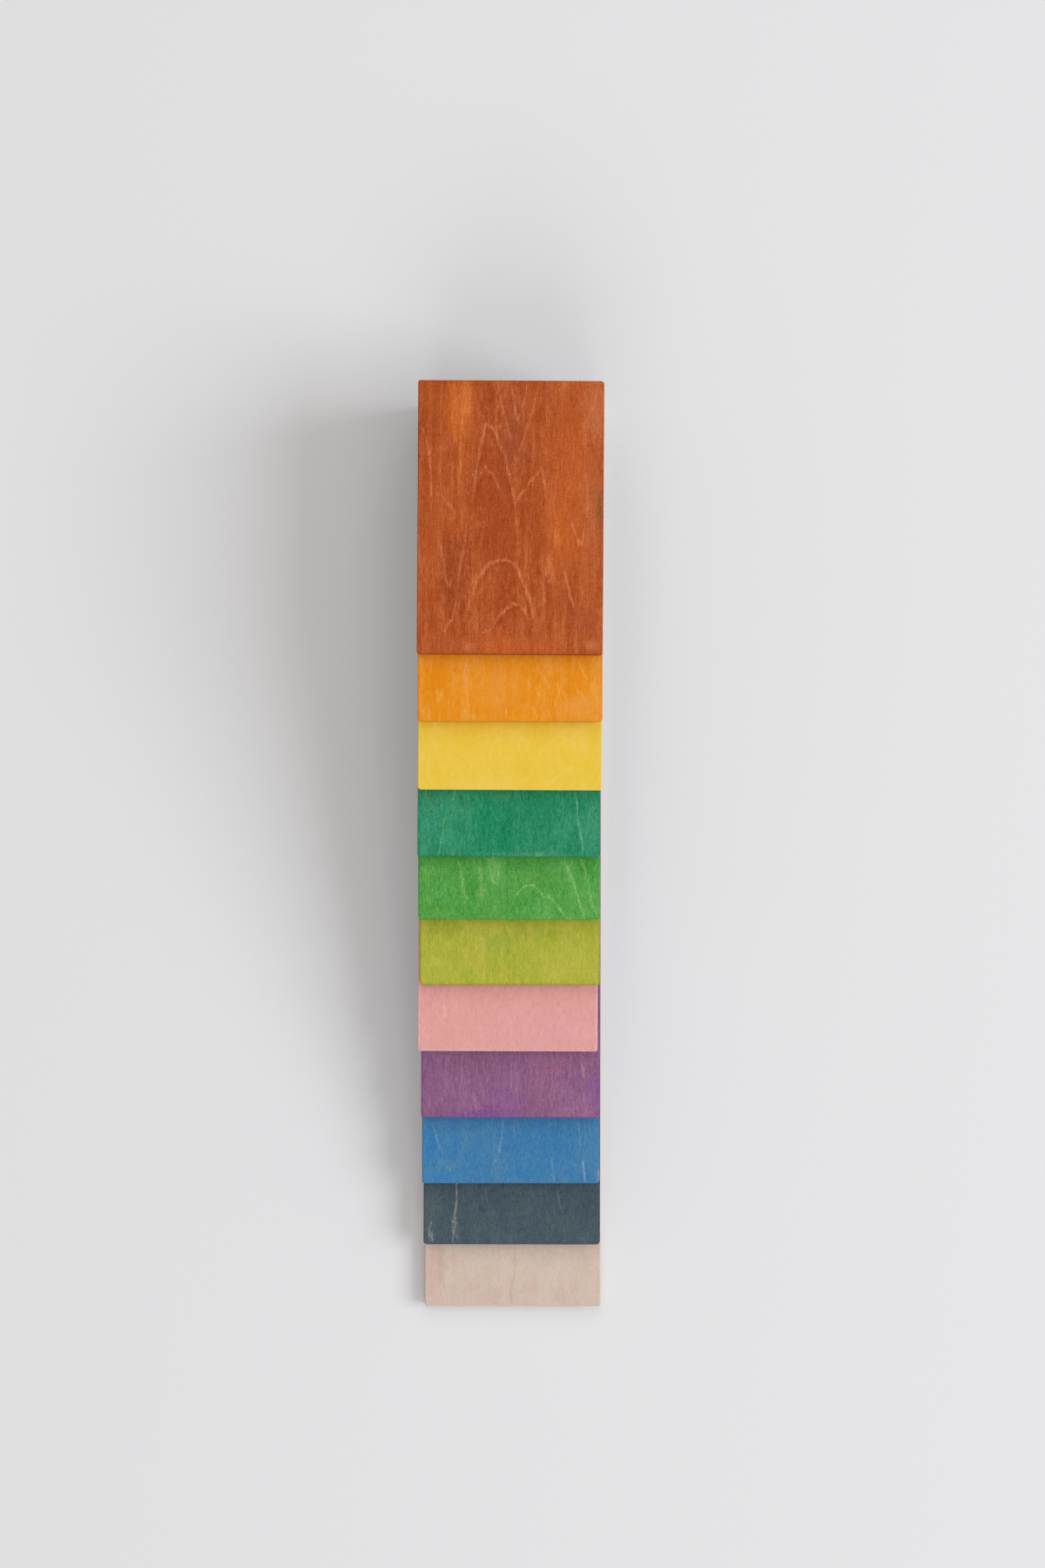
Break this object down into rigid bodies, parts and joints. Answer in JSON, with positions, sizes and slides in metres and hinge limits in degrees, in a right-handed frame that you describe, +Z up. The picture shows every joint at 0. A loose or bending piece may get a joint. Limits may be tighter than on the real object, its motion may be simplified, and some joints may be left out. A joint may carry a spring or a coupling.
{
  "type": "wooden step block",
  "caption": "Stack of loose flat wooden boards in stained colours, each a step shorter than the one below, back ends in line so the fronts make a flight of steps; boards lift off for play.",
  "frame": {"origin": "on the ground at the middle of the stack's footprint, on the underside of the longest board", "axes": "+Z up from the longest board to the shortest; +Y along the boards towards their aligned back ends, so the steps go down towards -Y; +X across the boards"},
  "size_m": [0.0703, 0.3517, 0.0745],
  "materials": {
    "natural_wood": "matte",
    "slate_wood": "matte",
    "blue_wood": "matte",
    "purple_wood": "matte",
    "pink_wood": "matte",
    "lime_wood": "matte",
    "green_wood": "matte",
    "emerald_wood": "matte",
    "yellow_wood": "matte",
    "orange_wood": "matte",
    "terracotta_wood": "matte"
  },
  "bodies": {
    "natural": {"natural_board": "natural_wood"},
    "slate": {"slate_board": "slate_wood"},
    "blue": {"blue_board": "blue_wood"},
    "purple": {"purple_board": "purple_wood"},
    "pink": {"pink_board": "pink_wood"},
    "lime": {"lime_board": "lime_wood"},
    "green": {"green_board": "green_wood"},
    "emerald": {"emerald_board": "emerald_wood"},
    "yellow": {"yellow_board": "yellow_wood"},
    "orange": {"orange_board": "orange_wood"},
    "terracotta": {"terracotta_board": "terracotta_wood"}
  },
  "joints": [
    {"name": "slate_lift", "type": "slide", "parent": "natural", "child": "slate", "axis": [0, 0, 1], "range_m": [0, 0.04]},
    {"name": "blue_lift", "type": "slide", "parent": "slate", "child": "blue", "axis": [0, 0, 1], "range_m": [0, 0.04]},
    {"name": "purple_lift", "type": "slide", "parent": "blue", "child": "purple", "axis": [0, 0, 1], "range_m": [0, 0.04]},
    {"name": "pink_lift", "type": "slide", "parent": "purple", "child": "pink", "axis": [0, 0, 1], "range_m": [0, 0.04]},
    {"name": "lime_lift", "type": "slide", "parent": "pink", "child": "lime", "axis": [0, 0, 1], "range_m": [0, 0.04]},
    {"name": "green_lift", "type": "slide", "parent": "lime", "child": "green", "axis": [0, 0, 1], "range_m": [0, 0.04]},
    {"name": "emerald_lift", "type": "slide", "parent": "green", "child": "emerald", "axis": [0, 0, 1], "range_m": [0, 0.04]},
    {"name": "yellow_lift", "type": "slide", "parent": "emerald", "child": "yellow", "axis": [0, 0, 1], "range_m": [0, 0.04]},
    {"name": "orange_lift", "type": "slide", "parent": "yellow", "child": "orange", "axis": [0, 0, 1], "range_m": [0, 0.04]},
    {"name": "terracotta_lift", "type": "slide", "parent": "orange", "child": "terracotta", "axis": [0, 0, 1], "range_m": [0, 0.04]}
  ]
}
